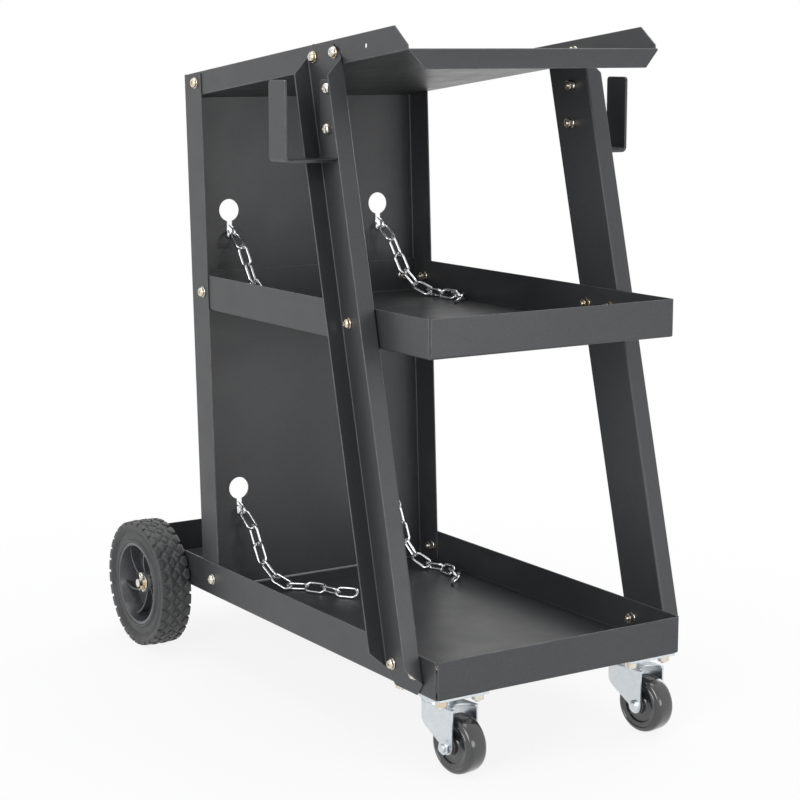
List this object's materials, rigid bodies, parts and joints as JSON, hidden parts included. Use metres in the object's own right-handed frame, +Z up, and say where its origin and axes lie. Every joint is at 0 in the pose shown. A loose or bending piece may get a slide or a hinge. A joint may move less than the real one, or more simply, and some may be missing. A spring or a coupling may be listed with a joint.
{
  "type": "welding cart",
  "caption": "Open welding cart with a sloped top shelf, a middle shelf and a lipped tray, a rear cylinder bay with chains, rolling on rear wheels and swivel casters.",
  "frame": {"origin": "middle of the cart's length and width, on the floor", "axes": "+X to the right seen from the front, across the cart; +Y to the rear, towards the cylinder bay; +Z up"},
  "size_m": [0.437, 0.7007, 0.744],
  "materials": {
    "frame_black": "satin black powder coat",
    "fastener_zinc": "yellowish zinc plating",
    "axle_zinc": "zinc plating",
    "caster_zinc": "bright blue zinc plating",
    "chain_zinc": "bright zinc plating",
    "tyre_rubber": "matt black rubber",
    "hub_plastic": "satin black moulded plastic",
    "caster_wheel_black": "hard black tread, slight gloss"
  },
  "bodies": {
    "frame": {"bottom_tray": "frame_black", "middle_shelf": "frame_black", "top_shelf": "frame_black", "back_panel": "frame_black", "left_leg": "frame_black", "right_leg": "frame_black", "left_hook": "frame_black", "right_hook": "frame_black", "leg_screws": "fastener_zinc", "leg_washers": "fastener_zinc", "leg_nuts": "fastener_zinc", "hook_screws": "fastener_zinc", "hook_nuts": "fastener_zinc", "panel_screws": "fastener_zinc", "panel_washers": "fastener_zinc", "panel_nuts": "fastener_zinc", "axle_brackets": "frame_black", "bracket_screws": "fastener_zinc", "bracket_nuts": "fastener_zinc", "rear_axle": "axle_zinc", "axle_spacers": "axle_zinc", "axle_washers": "axle_zinc", "cotter_pins": "fastener_zinc", "left_caster_plate": "caster_zinc", "left_caster_race": "caster_zinc", "left_caster_balls": "caster_zinc", "left_caster_kingpin": "caster_zinc", "right_caster_plate": "caster_zinc", "right_caster_race": "caster_zinc", "right_caster_balls": "caster_zinc", "right_caster_kingpin": "caster_zinc", "caster_screws": "fastener_zinc", "caster_nuts": "fastener_zinc", "upper_chain_left": "chain_zinc", "upper_chain_right": "chain_zinc", "upper_chain_loop": "chain_zinc", "lower_chain_left": "chain_zinc", "lower_chain_right": "chain_zinc", "lower_chain_loop": "chain_zinc"},
    "left_rear_wheel": {"left_rear_tyre": "tyre_rubber", "left_rear_hub": "hub_plastic"},
    "right_rear_wheel": {"right_rear_tyre": "tyre_rubber", "right_rear_hub": "hub_plastic"},
    "left_caster_swivel": {"left_caster_fork": "caster_zinc", "left_caster_bush": "caster_zinc", "left_caster_bolt": "caster_zinc", "left_caster_nut": "caster_zinc"},
    "left_caster_roller": {"left_caster_wheel": "caster_wheel_black"},
    "right_caster_swivel": {"right_caster_fork": "caster_zinc", "right_caster_bush": "caster_zinc", "right_caster_bolt": "caster_zinc", "right_caster_nut": "caster_zinc"},
    "right_caster_roller": {"right_caster_wheel": "caster_wheel_black"}
  },
  "joints": [
    {"name": "left_rear_wheel_spin", "type": "hinge", "parent": "frame", "child": "left_rear_wheel", "pos_m": [-0.1775, 0.26619, 0.077], "axis": [1, 0, 0], "continuous": true},
    {"name": "left_caster_swivel_turn", "type": "hinge", "parent": "frame", "child": "left_caster_swivel", "pos_m": [-0.121, -0.28856, 0.07], "axis": [0, 0, 1], "continuous": true},
    {"name": "left_caster_wheel_spin", "type": "hinge", "parent": "left_caster_swivel", "child": "left_caster_roller", "pos_m": [-0.11669, -0.31926, 0.0305], "axis": [0.9903, 0.1392, 0], "continuous": true},
    {"name": "right_rear_wheel_spin", "type": "hinge", "parent": "frame", "child": "right_rear_wheel", "pos_m": [0.1775, 0.26619, 0.077], "axis": [1, 0, 0], "continuous": true},
    {"name": "right_caster_swivel_turn", "type": "hinge", "parent": "frame", "child": "right_caster_swivel", "pos_m": [0.121, -0.28856, 0.07], "axis": [0, 0, 1], "continuous": true},
    {"name": "right_caster_wheel_spin", "type": "hinge", "parent": "right_caster_swivel", "child": "right_caster_roller", "pos_m": [0.12531, -0.31926, 0.0305], "axis": [0.9903, 0.1392, 0], "continuous": true}
  ]
}
